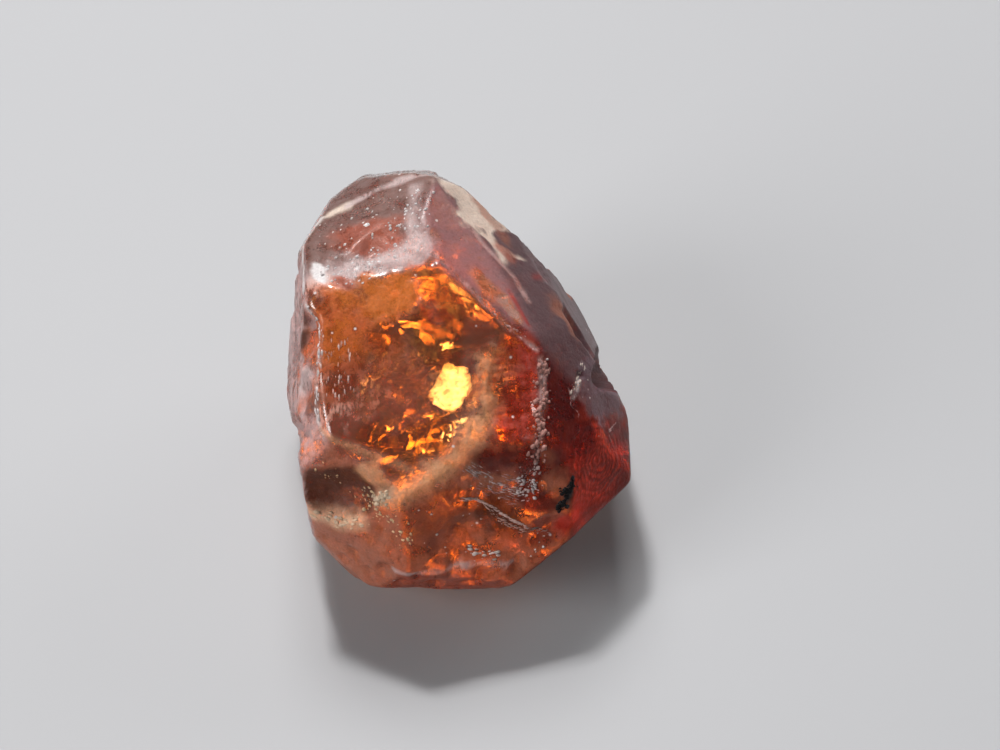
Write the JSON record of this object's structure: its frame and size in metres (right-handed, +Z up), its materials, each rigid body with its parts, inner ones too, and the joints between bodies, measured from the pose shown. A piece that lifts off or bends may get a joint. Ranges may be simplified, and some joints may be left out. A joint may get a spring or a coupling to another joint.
{
  "type": "zircon crystal",
  "caption": "Rough, water-worn zircon crystal, orange-red and see-through, lying on its flattest break.",
  "frame": {"origin": "on the resting face, under the middle of the crystal's box", "axes": "+Z up from the resting face, +Y along the crystal's length, from the end with the large clear window towards the frosted top"},
  "size_m": [0.0084, 0.0104, 0.0078],
  "materials": {
    "zircon": "clear orange-red crystal, glossy on its breaks, frosted and pale where water has worn it"
  },
  "bodies": {
    "root": {"zircon_crystal": "zircon"}
  },
  "joints": []
}
